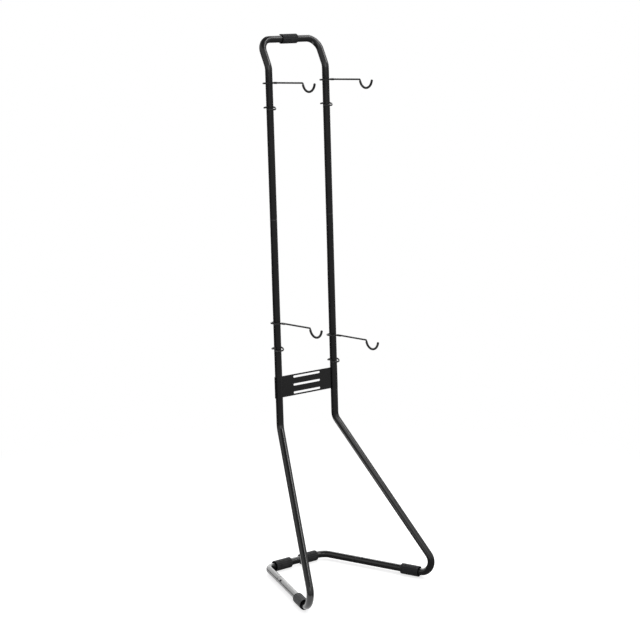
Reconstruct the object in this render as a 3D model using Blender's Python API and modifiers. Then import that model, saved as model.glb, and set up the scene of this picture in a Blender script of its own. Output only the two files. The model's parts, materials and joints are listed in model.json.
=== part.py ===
"""Freestanding stand for two bikes: a bent tube frame with four wire arms on its uprights.

Metres, +Z up. The front is -Y, the wall is behind, at +Y. The origin is on the floor, under the middle
of the stand. The uprights lean back towards the wall, and each arm is modelled square to its upright.
"""
import math

import bmesh
import bpy
from mathutils import Euler, Matrix, Vector

# Tube stock, one inch across, and the bends in it
TUBE_RADIUS = 0.0127
TUBE_WALL = 0.0012
TUBE_SIDES = 16
BEND_RADIUS = 0.045
REAR_BEND_RADIUS = 0.042
BEND_STEP = math.radians(13)

# Room between pieces that touch, and the widest merge
GAP = 0.0003
MERGE = 0.00002

# Frame, on the centre lines of the tubes
HALF_SPACING = 0.1254
UPRIGHT_DEPTH = 0.12045
LOWER_BEND_HEIGHT = 0.5546
LEAN = math.radians(2.551)
UPPER_BEND_HEIGHT = 1.8031
TOP_HEIGHT = 1.8949
TOP_SET_BACK = 0.0491
FOOT_HALF_WIDTH = 0.2965
FOOT_REACH = 0.3956
REAR_HALF_WIDTH = 0.1296
REAR_SET_BACK = 0.0703

# Tube joints: the reduced end of one tube slides into the next
UPRIGHT_SEAM_HEIGHT = 1.285
RAIL_SEAM_FROM_REAR = 0.138
SPIGOT_RADIUS = 0.0111
SPIGOT_LENGTH = 0.055
SPIGOT_STEP = 0.0003
JOINT_SCREW_FROM_SEAM = 0.028

# Angle of the base joint screws above the inner side of their rail
BASE_SCREW_RISE = {"left": math.radians(132), "right": math.radians(60)}

# Rubber sleeves
FOOT_SLEEVE_RADIUS = 0.0190
SLEEVE_SIDES = 24
SLEEVE_EDGE = 0.0010
FOOT_FLAT = 0.0004
FOOT_SLEEVE_LENGTH = 0.070
FRONT_SLEEVE_FROM_FOOT = 0.131
BUMPER_LENGTH = 0.066
BUMPER_RADIUS = 0.0166
BASE_HEIGHT = FOOT_SLEEVE_RADIUS - FOOT_FLAT

# Middle of each rear foot sleeve across the stand
REAR_SLEEVE_X = {"left": -0.064, "right": 0.0564}

# Crossbar plate
PLATE_CENTRE_HEIGHT = 0.6965
PLATE_HEIGHT = 0.076
PLATE_SHEET = 0.0020
PLATE_END_ANGLE = math.radians(190)
PLATE_BEND = 0.0025
PLATE_STEP = math.radians(15)
SLOT_LENGTH = 0.121
SLOT_HEIGHT = 0.0072
SLOT_PITCH = 0.0285
PLATE_SCREW_OFFSET = 0.022

# Screws and rivet nuts
SCREW_RADIUS = 0.0025
SCREW_LENGTH = 0.0110
HEAD_RADIUS = 0.00475
HEAD_HEIGHT = 0.0019
SOCKET_RADIUS = 0.0017
SOCKET_DEPTH = 0.0011
FASTENER_SIDES = 12
NUT_BARREL_RADIUS = 0.0033
NUT_BULGE_RADIUS = 0.0044
NUT_BULGE_DEPTH = 0.0022
NUT_LENGTH = 0.0090
CLEARANCE_HOLE_RADIUS = 0.0031
NUT_HOLE_RADIUS = 0.0037

# Wire arms, in the frame of the arm: the upright is the Z axis, the hook points to -Y
WIRE_RADIUS = 0.0030
WIRE_SIDES = 8
WIRE_STEP = math.radians(15)
ARM_END_OUT = 0.0280
LAP_START_OUT = 0.0500
LAP_ASIDE = -0.0063
LAP_BEND = 0.0120
EYE_ASIDE = -0.0022
EYE_HEIGHT = -0.0012
EYE_RADIUS = 0.0178
EYE_END_ANGLE = math.radians(50)
SPINE_BEND = 0.0040
HOOK_RADIUS = 0.0311
HOOK_OUT = 0.2132
HOOK_UP = 0.0022
HOOK_NECK_BEND = 0.0040
HOOK_NECK_ANGLE = math.radians(193.5)
HOOK_TIP_ANGLE = math.radians(355)
RING_RADIUS = 0.0192
COVER_RADIUS = 0.0040
COVER_BORE = 0.0034
COVER_SIDES = 10
COVER_TIP = 0.0030
COVER_SHORT = 0.0010

# Angle and height of the ring's wire: a full turn from its upper end at the front left, round behind
# the upright and down across the front, to its other end under the first
RING_STATIONS = (
    (math.radians(-151), 0.0024),
    (math.radians(-230), 0.0),
    (math.radians(-345), 0.0009),
    (math.radians(-430), -0.0063),
    (math.radians(-480), -0.0063),
    (math.radians(-515), -0.0042),
)

# Side and height of each arm on its upright, and how far its ring lies below it
ARMS = {
    "upper_left": (-1, 1.7512, 0.0838),
    "upper_right": (1, 1.7538, 0.0838),
    "lower_left": (-1, 0.9265, 0.0917),
    "lower_right": (1, 0.8526, 0.0917),
}

UPRIGHT = Vector((0, math.sin(LEAN), math.cos(LEAN)))
BACK = Vector((0, math.cos(LEAN), -math.sin(LEAN)))


def clear_scene():
    """Remove every object of the open scene."""
    for item in list(bpy.data.objects):
        bpy.data.objects.remove(item, do_unlink=True)


def add_collection(name, hidden=False):
    """New collection in the scene."""
    collection = bpy.data.collections.new(name)
    bpy.context.scene.collection.children.link(collection)
    collection.hide_render = hidden
    return collection


clear_scene()
stand = add_collection("freestanding_bike_stand")
cutters = add_collection("cutters", hidden=True)


def make_finish(name, colour, roughness, metallic):
    """Plain material with one Principled shader."""
    material = bpy.data.materials.new(name)
    material.use_nodes = True
    shader = material.node_tree.nodes["Principled BSDF"]
    shader.inputs["Base Color"].default_value = (*colour, 1)
    shader.inputs["Roughness"].default_value = roughness
    shader.inputs["Metallic"].default_value = metallic
    return material


powder_coat = make_finish("black_powder_coat", (0.016, 0.016, 0.017), 0.42, 0.0)
wire_coat = make_finish("black_coated_wire", (0.022, 0.022, 0.023), 0.38, 0.0)
vinyl = make_finish("black_vinyl", (0.010, 0.010, 0.010), 0.50, 0.0)
rubber = make_finish("black_rubber", (0.024, 0.024, 0.025), 0.75, 0.0)
blackened_steel = make_finish("black_oxide_screws", (0.030, 0.030, 0.032), 0.40, 0.9)
zinc = make_finish("zinc_plated_nuts", (0.55, 0.55, 0.53), 0.35, 1.0)


def add_object(name, data, finish, parent=None):
    """Named object of the stand with its finish."""
    item = bpy.data.objects.new(name, data)
    stand.objects.link(item)
    item.parent = parent
    if not data.materials:
        data.materials.append(finish)
    return item


def smooth(mesh, angle=math.radians(38)):
    """Round faces shade smooth, and edges sharper than the angle stay crisp."""
    mesh.shade_smooth()
    mesh.set_sharp_from_angle(angle=angle)


def bake(item):
    """Plain mesh of an object with its curve or modifiers worked out, and the object removed."""
    bpy.context.view_layer.update()
    depsgraph = bpy.context.evaluated_depsgraph_get()
    mesh = bpy.data.meshes.new_from_object(item.evaluated_get(depsgraph))
    shape = bmesh.new()
    shape.from_mesh(mesh)
    bmesh.ops.remove_doubles(shape, verts=shape.verts, dist=MERGE)
    shape.to_mesh(mesh)
    shape.free()
    mesh.materials.clear()
    bpy.data.objects.remove(item, do_unlink=True)
    return mesh


def arc_angles(start, stop, step):
    """Evenly spaced angles from start to stop, no further apart than step."""
    count = max(1, math.ceil(abs(stop - start) / step - 0.001))
    return [start + (stop - start) * i / count for i in range(count + 1)]


def rounded_path(corners, step):
    """Points along straight runs. Each corner is a point and the radius of the bend there."""
    path = [corners[0][0]]
    for (before, _), (corner, radius), (after, _) in zip(corners, corners[1:], corners[2:]):
        run_in = (corner - before).normalized()
        run_out = (after - corner).normalized()
        turn = run_in.angle(run_out)
        if radius == 0 or turn < math.radians(1):
            path.append(corner)
            continue
        start = corner - run_in * radius * math.tan(turn / 2)
        side = (run_out - run_in * run_out.dot(run_in)).normalized()
        centre = start + side * radius
        for angle in arc_angles(0, turn, step):
            path.append(centre + (run_in * math.sin(angle) - side * math.cos(angle)) * radius)
    path.append(corners[-1][0])
    return path


def round_bar(name, path, radius, sides, radii=None, capped=True):
    """Mesh of a round bar or open pipe skin along a path, with its radius at each point."""
    curve = bpy.data.curves.new(name, "CURVE")
    curve.dimensions = "3D"
    curve.bevel_depth = radius
    curve.bevel_resolution = sides // 2 - 2
    curve.use_fill_caps = capped
    spline = curve.splines.new("POLY")
    spline.points.add(len(path) - 1)
    for index, point in enumerate(path):
        spline.points[index].co = (*point, 1)
        spline.points[index].radius = radii[index] / radius if radii else 1
    item = bpy.data.objects.new(name, curve)
    stand.objects.link(item)
    return bake(item)


def lathe(name, profile, sides, closed=False):
    """Mesh of a profile of (radius, height) points turned about Z. The outer side runs downwards."""
    mesh = bpy.data.meshes.new(name)
    edges = [(i, i + 1) for i in range(len(profile) - 1)]
    if closed:
        edges.append((len(profile) - 1, 0))
    mesh.from_pydata([(radius, 0, height) for radius, height in profile], edges, [])
    item = bpy.data.objects.new(name, mesh)
    stand.objects.link(item)
    turning = item.modifiers.new("turning", "SCREW")
    turning.steps = sides
    turning.render_steps = sides
    turning.use_merge_vertices = True
    turning.merge_threshold = MERGE
    return bake(item)


def along(point, direction):
    """Matrix that places a shape's Z axis along a direction, at a point."""
    turn = Vector(direction).to_track_quat("Z", "Y")
    return Matrix.Translation(point) @ turn.to_matrix().to_4x4()


def add_cutter(name, mesh, placement=Matrix.Identity(4)):
    """Object that only cuts others."""
    item = bpy.data.objects.new(name, mesh)
    cutters.objects.link(item)
    item.matrix_world = placement
    item.hide_render = True
    item.display_type = "WIRE"
    return item


def cut(target, cutter):
    """Take the cutter's shape out of the target."""
    boolean = target.modifiers.new(cutter.name, "BOOLEAN")
    boolean.operation = "DIFFERENCE"
    boolean.solver = "EXACT"
    boolean.object = cutter


def drill(target, name, radius, point, direction):
    """Round hole through one wall of a tube or sheet, from the point inwards along the direction."""
    depth = TUBE_RADIUS * 0.9
    profile = [(0, depth), (radius, depth), (radius, -depth / 2), (0, -depth / 2)]
    cut(target, add_cutter(name, lathe(name, profile, FASTENER_SIDES), along(point, direction)))


def upright_point(side, height):
    """Point on the centre line of an upright."""
    depth = UPRIGHT_DEPTH + (height - LOWER_BEND_HEIGHT) * math.tan(LEAN)
    return Vector((side * HALF_SPACING, depth, height))


def top_corner(side):
    """Corner of the centre lines where an upright's shoulder meets the top bar."""
    shoulder = upright_point(side, UPPER_BEND_HEIGHT)
    return Vector((shoulder.x, shoulder.y + TOP_SET_BACK, TOP_HEIGHT))


def foot_corner(side):
    """Corner of the centre lines where a leg meets its side rail."""
    return Vector((side * FOOT_HALF_WIDTH, UPRIGHT_DEPTH - FOOT_REACH, BASE_HEIGHT))


def rear_corner(side):
    """Corner of the centre lines where a side rail meets the rear rail."""
    return Vector((side * REAR_HALF_WIDTH, UPRIGHT_DEPTH + REAR_SET_BACK, BASE_HEIGHT))


def rail_direction(side):
    """Direction of a side rail, forwards."""
    return (foot_corner(side) - rear_corner(side)).normalized()


def rail_seam(side):
    """Point on the side rail where the rear tube ends and the leg tube begins."""
    return rear_corner(side) + rail_direction(side) * RAIL_SEAM_FROM_REAR


def hollow_tube(name, corners, spigot_start=False, spigot_end=False):
    """Bent tube with an open bore. A spigot is an end reduced to slide into the next tube."""
    path = rounded_path(corners, BEND_STEP)
    radii = [TUBE_RADIUS] * len(path)
    if spigot_end:
        run = (path[-1] - path[-2]).normalized()
        path += [path[-1] + run * SPIGOT_STEP, path[-1] + run * SPIGOT_LENGTH]
        radii += [SPIGOT_RADIUS] * 2
    if spigot_start:
        run = (path[0] - path[1]).normalized()
        path = [path[0] + run * SPIGOT_LENGTH, path[0] + run * SPIGOT_STEP] + path
        radii = [SPIGOT_RADIUS] * 2 + radii
    mesh = round_bar(name, path, TUBE_RADIUS, TUBE_SIDES, radii, capped=False)
    smooth(mesh)
    tube = add_object(name, mesh, powder_coat)
    wall = tube.modifiers.new("wall", "SOLIDIFY")
    wall.thickness = TUBE_WALL
    wall.offset = -1
    wall.use_even_offset = True
    return tube


def make_upper_tube():
    """Inverted U of both upper uprights, their slanted shoulders and the top bar."""
    left, right = [
        [
            (upright_point(side, UPRIGHT_SEAM_HEIGHT) + UPRIGHT * (SPIGOT_STEP + GAP), 0),
            (upright_point(side, UPPER_BEND_HEIGHT), BEND_RADIUS),
            (top_corner(side), BEND_RADIUS),
        ]
        for side in (-1, 1)
    ]
    return hollow_tube("upper_tube", left + right[::-1])


def make_leg_tube(name, side):
    """Lower upright, splayed leg, foot bend and the front of the side rail."""
    corners = [
        (rail_seam(side) + rail_direction(side) * (SPIGOT_STEP + GAP), 0),
        (foot_corner(side), BEND_RADIUS),
        (upright_point(side, LOWER_BEND_HEIGHT), BEND_RADIUS),
        (upright_point(side, UPRIGHT_SEAM_HEIGHT), 0),
    ]
    return hollow_tube(name, corners, spigot_end=True)


def make_rear_base_tube():
    """Rear rail, its two corners and the rear of both side rails."""
    corners = [
        (rail_seam(-1), 0),
        (rear_corner(-1), REAR_BEND_RADIUS),
        (rear_corner(1), REAR_BEND_RADIUS),
        (rail_seam(1), 0),
    ]
    return hollow_tube("rear_base_tube", corners, spigot_start=True, spigot_end=True)


def sleeve_mesh(length, outer):
    """Rubber sleeve about Z, with rounded rims and a bore for the tube."""
    half = length / 2
    rim, bore = SLEEVE_EDGE, TUBE_RADIUS + GAP
    profile = [
        (bore, half),
        (outer - rim, half),
        (outer, half - rim),
        (outer, rim - half),
        (outer - rim, -half),
        (bore, -half),
    ]
    mesh = lathe("sleeve", profile, SLEEVE_SIDES, closed=True)
    smooth(mesh, math.radians(50))
    return mesh


def make_sleeves():
    """Four foot sleeves, pressed flat where they stand, and the bumper on the top bar."""
    foot_mesh = sleeve_mesh(FOOT_SLEEVE_LENGTH, FOOT_SLEEVE_RADIUS)
    floor = bmesh.new()
    bmesh.ops.create_cube(floor, size=1)
    floor_mesh = bpy.data.meshes.new("floor_cut")
    floor.to_mesh(floor_mesh)
    floor.free()
    floor_cutter = add_cutter("floor_cut", floor_mesh, Matrix.Translation((0, 0, -0.5)))
    for side, word in ((-1, "left"), (1, "right")):
        front = foot_corner(side) - rail_direction(side) * FRONT_SLEEVE_FROM_FOOT
        rear = Vector((REAR_SLEEVE_X[word], UPRIGHT_DEPTH + REAR_SET_BACK, BASE_HEIGHT))
        places = {"front": (front, rail_direction(side)), "rear": (rear, Vector((1, 0, 0)))}
        for end, (centre, direction) in places.items():
            sleeve = add_object(end + "_" + word + "_foot_sleeve", foot_mesh, rubber)
            sleeve.matrix_world = along(centre, direction)
            cut(sleeve, floor_cutter)
    bumper = add_object("wall_bumper_sleeve", sleeve_mesh(BUMPER_LENGTH, BUMPER_RADIUS), rubber)
    bumper.matrix_world = along((top_corner(-1) + top_corner(1)) / 2, (1, 0, 0))


def plate_path(radius):
    """Bent line of the plate from above: round the left upright, across between them, round the right."""
    reach = math.sqrt((radius + PLATE_BEND) ** 2 - PLATE_BEND ** 2)
    leave = math.asin(PLATE_BEND / (radius + PLATE_BEND))
    path = []
    for angle in arc_angles(PLATE_END_ANGLE, leave, PLATE_STEP):
        path.append(Vector((radius * math.cos(angle) - HALF_SPACING, radius * math.sin(angle), 0)))
    for angle in arc_angles(math.pi + leave, math.pi * 1.5, PLATE_STEP)[1:]:
        x = reach + PLATE_BEND * math.cos(angle)
        path.append(Vector((x - HALF_SPACING, PLATE_BEND + PLATE_BEND * math.sin(angle), 0)))
    return path + [Vector((-point.x, point.y, 0)) for point in reversed(path)]


def slot_mesh():
    """Slot with round ends, as a solid to cut with, in the XY plane."""
    radius = SLOT_HEIGHT / 2
    reach = SLOT_LENGTH / 2 - radius
    curve = bpy.data.curves.new("slot", "CURVE")
    curve.dimensions = "2D"
    curve.fill_mode = "BOTH"
    curve.extrude = TUBE_RADIUS
    outline = []
    for middle, start in ((reach, -math.pi / 2), (-reach, math.pi / 2)):
        for angle in arc_angles(start, start + math.pi, math.pi / 6):
            outline.append((middle + radius * math.cos(angle), radius * math.sin(angle)))
    spline = curve.splines.new("POLY")
    spline.points.add(len(outline) - 1)
    for index, (x, y) in enumerate(outline):
        spline.points[index].co = (x, y, 0, 1)
    spline.use_cyclic_u = True
    item = bpy.data.objects.new("slot", curve)
    stand.objects.link(item)
    return bake(item)


def make_crossbar_plate():
    """Sheet between the uprights that curls round the back of each, with three slots."""
    centre_line = TUBE_RADIUS + GAP + PLATE_SHEET / 2
    path = plate_path(centre_line)
    ribbon = bpy.data.curves.new("crossbar_plate", "CURVE")
    ribbon.dimensions = "3D"
    ribbon.extrude = PLATE_HEIGHT / 2
    spline = ribbon.splines.new("POLY")
    spline.points.add(len(path) - 1)
    for index, point in enumerate(path):
        spline.points[index].co = (*point, 1)
    item = bpy.data.objects.new("crossbar_plate", ribbon)
    stand.objects.link(item)
    mesh = bake(item)
    smooth(mesh)
    plate = add_object("crossbar_plate", mesh, powder_coat)
    plate.location = upright_point(0, PLATE_CENTRE_HEIGHT)
    plate.rotation_euler = Euler((-LEAN, 0, 0))
    sheet = plate.modifiers.new("sheet", "SOLIDIFY")
    sheet.thickness = PLATE_SHEET
    sheet.offset = 0
    sheet.use_even_offset = True
    slot = slot_mesh()
    middle = upright_point(0, PLATE_CENTRE_HEIGHT)
    for row in (-1, 0, 1):
        place = Matrix.Translation(middle + UPRIGHT * SLOT_PITCH * row)
        face = Euler((math.pi / 2 - LEAN, 0, 0)).to_matrix().to_4x4()
        cut(plate, add_cutter("plate_slot_cut_" + str(row + 2), slot, place @ face))
    shading = plate.modifiers.new("shading", "WEIGHTED_NORMAL")
    shading.keep_sharp = True
    return plate


def screw_mesh():
    """Button-head screw along Z. The head stands above zero and the shank hangs below."""
    profile = [
        (0, HEAD_HEIGHT),
        (HEAD_RADIUS * 0.55, HEAD_HEIGHT * 0.93),
        (HEAD_RADIUS * 0.88, HEAD_HEIGHT * 0.60),
        (HEAD_RADIUS, 0),
        (SCREW_RADIUS, 0),
        (SCREW_RADIUS, -SCREW_LENGTH),
        (0, -SCREW_LENGTH),
    ]
    item = bpy.data.objects.new("screw", lathe("screw", profile, FASTENER_SIDES))
    stand.objects.link(item)
    top, bottom = HEAD_HEIGHT * 2, HEAD_HEIGHT - SOCKET_DEPTH
    hexagon = lathe("socket", [(0, top), (SOCKET_RADIUS, top), (SOCKET_RADIUS, bottom), (0, bottom)], 6)
    cut(item, add_cutter("socket_cut", hexagon))
    return bake(item)


def nut_mesh():
    """Flush rivet nut along Z, its rim at zero, bulged under the wall that it grips."""
    bore = SCREW_RADIUS + GAP
    bulge_top = -TUBE_WALL - 2 * GAP
    profile = [
        (bore, 0),
        (NUT_BARREL_RADIUS, 0),
        (NUT_BARREL_RADIUS, bulge_top),
        (NUT_BULGE_RADIUS, bulge_top - GAP),
        (NUT_BULGE_RADIUS, bulge_top - NUT_BULGE_DEPTH),
        (NUT_BARREL_RADIUS, -NUT_LENGTH),
        (bore, -NUT_LENGTH),
    ]
    return lathe("nut", profile, FASTENER_SIDES, closed=True)


def fasten(name, meshes, clamped, tapped, joint, way, clamped_radius, tapped_radius):
    """Screw through one piece into a rivet nut in the next. Both point along the way out of the tube."""
    drill(clamped, name + "_hole", CLEARANCE_HOLE_RADIUS, joint + way * clamped_radius, way)
    drill(tapped, name + "_nut_hole", NUT_HOLE_RADIUS, joint + way * tapped_radius, way)
    screw = add_object(name + "_screw", meshes[0], blackened_steel)
    screw.matrix_world = along(joint + way * (clamped_radius + GAP), way)
    nut = add_object(name + "_nut", meshes[1], zinc)
    nut.matrix_world = along(joint + way * (tapped_radius - GAP), way)


def fasten_frame(tubes, plate):
    """Screws and rivet nuts of the tube joints and the plate, with their holes."""
    meshes = screw_mesh(), nut_mesh()
    for mesh in meshes:
        smooth(mesh)
    up = Vector((0, 0, 1))
    plate_face = TUBE_RADIUS + GAP + PLATE_SHEET
    for side, word in ((-1, "left"), (1, "right")):
        leg = tubes[word + "_leg_tube"]
        joint = upright_point(side, UPRIGHT_SEAM_HEIGHT) + UPRIGHT * JOINT_SCREW_FROM_SEAM
        name = word + "_upright_joint"
        fasten(name, meshes, tubes["upper_tube"], leg, joint, BACK, TUBE_RADIUS, SPIGOT_RADIUS)
        joint = rail_seam(side) + rail_direction(side) * JOINT_SCREW_FROM_SEAM
        inwards = rail_direction(side).cross(up) * side
        rise = BASE_SCREW_RISE[word]
        way = inwards * math.cos(rise) + up * math.sin(rise)
        name = word + "_base_joint"
        fasten(name, meshes, leg, tubes["rear_base_tube"], joint, way, TUBE_RADIUS, SPIGOT_RADIUS)
        for row, level in ((-1, "lower"), (1, "upper")):
            joint = upright_point(side, PLATE_CENTRE_HEIGHT) + UPRIGHT * PLATE_SCREW_OFFSET * row
            name = word + "_" + level + "_plate"
            fasten(name, meshes, plate, leg, joint, BACK, plate_face, TUBE_RADIUS)


def eye_point(angle, height=EYE_HEIGHT):
    """Point on the eye's circle, whose middle is a little to the left of the upright."""
    return Vector((EYE_ASIDE + EYE_RADIUS * math.cos(angle), EYE_RADIUS * math.sin(angle), height))


def hook_point(angle):
    """Point on the hook's half circle."""
    return Vector((0, -HOOK_OUT - HOOK_RADIUS * math.cos(angle), HOOK_UP + HOOK_RADIUS * math.sin(angle)))


def hook_path():
    """Points of the wire round the hook, from its end to the neck."""
    wire_end = HOOK_TIP_ANGLE - COVER_TIP / HOOK_RADIUS
    return [hook_point(angle) for angle in arc_angles(wire_end, HOOK_NECK_ANGLE, WIRE_STEP)]


def arm_wire_mesh():
    """Wire from the hook's tip to the neck, then straight back to its end in front of the upright."""
    corners = [(point, 0) for point in hook_path()]
    corners.append((Vector((0, corners[-1][0].y, 0)), HOOK_NECK_BEND))
    corners.append((Vector((0, -ARM_END_OUT, 0)), 0))
    return round_bar("arm_wire", rounded_path(corners, WIRE_STEP), WIRE_RADIUS, WIRE_SIDES)


def arm_bracket_mesh(ring_drop):
    """Wire welded beside the arm, round the left and the back of the upright, then down behind it.

    It ends just above the ring, which it clears as it turns.
    """
    lap_end = Vector((LAP_ASIDE - EYE_ASIDE, -ARM_END_OUT))
    first = math.atan2(lap_end.y, lap_end.x) - math.acos(EYE_RADIUS / lap_end.length)
    foot = max(height for _, height in RING_STATIONS) - ring_drop + WIRE_RADIUS + 2 * GAP
    corners = [
        (Vector((LAP_ASIDE, -LAP_START_OUT, 0)), 0),
        (Vector((LAP_ASIDE, -ARM_END_OUT, 0)), LAP_BEND),
    ]
    round_eye = arc_angles(first % (2 * math.pi), EYE_END_ANGLE, WIRE_STEP)
    corners += [(eye_point(angle), 0) for angle in round_eye[:-1]]
    corners.append((eye_point(EYE_END_ANGLE), SPINE_BEND))
    corners.append((eye_point(EYE_END_ANGLE, foot), 0))
    return round_bar("arm_bracket", rounded_path(corners, WIRE_STEP), WIRE_RADIUS, WIRE_SIDES)


def ring_point(angle, height):
    """Point on the ring, in the frame of the arm."""
    return Vector((RING_RADIUS * math.cos(angle), RING_RADIUS * math.sin(angle), height))


def arm_ring_mesh(ring_drop):
    """Split ring round the upright, whose height eases from one station to the next."""
    path = []
    for (start, high), (stop, low) in zip(RING_STATIONS, RING_STATIONS[1:]):
        for angle in arc_angles(start, stop, WIRE_STEP)[:-1]:
            share = (angle - start) / (stop - start)
            eased = share * share * (3 - 2 * share)
            path.append(ring_point(angle, high + (low - high) * eased - ring_drop))
    end_angle, end_height = RING_STATIONS[-1]
    path.append(ring_point(end_angle, end_height - ring_drop))
    return round_bar("arm_ring", path, WIRE_RADIUS, WIRE_SIDES)


def hook_cover_mesh():
    """Vinyl cover with a closed, rounded tip, and a bore that is open at the neck."""
    wire = hook_path()
    neck = (wire[-1] - wire[-2]).normalized()
    end = (wire[0] - wire[1]).normalized()
    tip = [wire[0] + end * COVER_TIP, wire[0] + end * COVER_TIP * 0.7]
    path = tip + wire[:-1] + [wire[-1] - neck * COVER_SHORT]
    radii = [COVER_RADIUS * 0.45, COVER_RADIUS * 0.85] + [COVER_RADIUS] * len(wire)
    skin = round_bar("hook_cover", path, COVER_RADIUS, COVER_SIDES, radii)
    item = bpy.data.objects.new("hook_cover", skin)
    stand.objects.link(item)
    bore = [wire[0] + end * GAP] + wire + [wire[-1] + neck * COVER_SHORT]
    cut(item, add_cutter("hook_bore_cut", round_bar("hook_bore", bore, COVER_BORE, COVER_SIDES)))
    return bake(item)


def make_arms():
    """Four arms. The ring slides on the upright, and the wires and the cover also swivel on it."""
    wire, cover = arm_wire_mesh(), hook_cover_mesh()
    for arm, (side, height, ring_drop) in ARMS.items():
        slide = bpy.data.objects.new(arm + "_slide", None)
        stand.objects.link(slide)
        slide.location = upright_point(side, height)
        slide.rotation_euler = Euler((-LEAN, 0, 0))
        swivel = bpy.data.objects.new(arm + "_swivel", None)
        stand.objects.link(swivel)
        swivel.parent = slide
        pieces = [
            add_object(arm + "_arm_ring", arm_ring_mesh(ring_drop), wire_coat, slide),
            add_object(arm + "_arm_bracket", arm_bracket_mesh(ring_drop), wire_coat, swivel),
            add_object(arm + "_arm_wire", wire, wire_coat, swivel),
            add_object(arm + "_hook_cover", cover, vinyl, swivel),
        ]
        for piece in pieces:
            smooth(piece.data, math.radians(60))


frame_tubes = {
    "upper_tube": make_upper_tube(),
    "left_leg_tube": make_leg_tube("left_leg_tube", -1),
    "right_leg_tube": make_leg_tube("right_leg_tube", 1),
    "rear_base_tube": make_rear_base_tube(),
}
fasten_frame(frame_tubes, make_crossbar_plate())
make_sleeves()
make_arms()
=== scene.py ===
import json
import math

import bmesh
import bpy
from mathutils import Euler, Matrix, Vector


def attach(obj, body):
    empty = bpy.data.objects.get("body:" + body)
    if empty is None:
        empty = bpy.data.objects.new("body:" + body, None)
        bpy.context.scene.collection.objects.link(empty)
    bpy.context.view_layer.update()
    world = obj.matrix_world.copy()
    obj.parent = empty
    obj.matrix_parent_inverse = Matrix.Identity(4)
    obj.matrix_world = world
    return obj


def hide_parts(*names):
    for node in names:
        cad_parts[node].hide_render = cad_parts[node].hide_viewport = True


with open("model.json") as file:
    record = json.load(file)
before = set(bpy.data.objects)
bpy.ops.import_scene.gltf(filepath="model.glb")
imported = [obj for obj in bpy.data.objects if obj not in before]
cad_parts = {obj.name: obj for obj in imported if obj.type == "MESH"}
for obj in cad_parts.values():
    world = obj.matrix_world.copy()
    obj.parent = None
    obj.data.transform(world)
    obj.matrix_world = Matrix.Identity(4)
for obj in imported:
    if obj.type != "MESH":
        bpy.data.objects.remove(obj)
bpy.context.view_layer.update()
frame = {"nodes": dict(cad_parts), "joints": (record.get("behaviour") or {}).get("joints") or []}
joints = {joint["name"]: joint for joint in frame["joints"]}


# Camera, where the photographer stood: in front, to the left and a little above the hooks
photoView = {
    "place": (-3.856, -4.59925, 2.1329),
    "tilt": 78.7593,  # degrees up from straight down
    "heading": -39.6512,
    "lens": 99.55,  # mm
    "sensor": 36,  # mm wide
}


def linked(name, data):
    # New object in the scene
    thing = bpy.data.objects.new(name, data)
    bpy.context.scene.collection.objects.link(thing)
    return thing


def addCamera():
    data = bpy.data.cameras.new("camera")
    data.lens = photoView["lens"]
    data.sensor_width = photoView["sensor"]
    camera = linked("camera", data)
    camera.location = photoView["place"]
    camera.rotation_euler = (math.radians(photoView["tilt"]), 0, math.radians(photoView["heading"]))
    bpy.context.scene.camera = camera


addCamera()
print("camera set")


# Shader nodes

class Signal:
    # One output of a node. Sums on it add Math nodes.
    def __init__(self, look, socket):
        self.look = look
        self.socket = socket

    def sum(self, operation, first, second):
        return self.look.node("ShaderNodeMath", {"operation": operation}, {0: first, 1: second})

    def __add__(self, other):
        return self.sum("ADD", self, other)

    def __radd__(self, other):
        return self.sum("ADD", other, self)

    def __rsub__(self, other):
        return self.sum("SUBTRACT", other, self)

    def __mul__(self, other):
        return self.sum("MULTIPLY", self, other)

    def __rmul__(self, other):
        return self.sum("MULTIPLY", other, self)


class Look:
    # One material or world, with the methods that add its nodes.
    def __init__(self, block):
        block.use_nodes = True
        self.block = block
        self.tree = block.node_tree

    def node(self, kind, settings, sockets, out=0):
        node = self.tree.nodes.new(kind)
        for key, value in settings.items():
            setattr(node, key, value)
        for key, value in sockets.items():
            self.feed(node, key, value)
        return Signal(self, node.outputs[out])

    def feed(self, node, key, value):
        if isinstance(value, Signal):
            self.tree.links.new(value.socket, node.inputs[key])
        else:
            node.inputs[key].default_value = value

    def noise(self, place, scale, detail=2, roughness=0.5):
        sockets = {"Vector": place, "Scale": scale, "Detail": detail, "Roughness": roughness}
        return self.node("ShaderNodeTexNoise", {}, sockets)

    def band(self, value, low, high):
        # 0 below the low value, 1 above the high one, smooth between
        sockets = {"Value": value, "From Min": low, "From Max": high}
        return self.node("ShaderNodeMapRange", {"interpolation_type": "SMOOTHSTEP"}, sockets)

    def mix(self, share, first, second):
        colours = [shade if isinstance(shade, Signal) else (*shade, 1) for shade in (first, second)]
        return self.node("ShaderNodeMix", {"data_type": "RGBA"}, {0: share, 6: colours[0], 7: colours[1]}, 2)

    def axes(self, vector):
        # The three parts of a vector
        split = self.node("ShaderNodeSeparateXYZ", {}, {0: vector})
        return [Signal(self, output) for output in split.socket.node.outputs]

    def bump(self, height, depth, normal=None):
        sockets = {"Height": height, "Distance": depth}
        if normal:
            sockets["Normal"] = normal
        return self.node("ShaderNodeBump", {}, sockets)

    def place(self):
        # Points of the piece itself, so a pattern stays put as the piece moves
        return self.node("ShaderNodeTexCoord", {}, {}, "Object")


def finish(name, values, paint):
    # Material with one Principled shader. The values are the same all over, and paint adds what varies.
    look = Look(bpy.data.materials.new(name))
    shader = look.tree.nodes["Principled BSDF"]
    for key, value in values.items():
        shader.inputs[key].default_value = value
    for key, value in paint(look).items():
        look.feed(shader, key, value)
    return look.block


# Powder coat of the tubes and the plate: satin, with the low waves and the grain of baked powder

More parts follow.
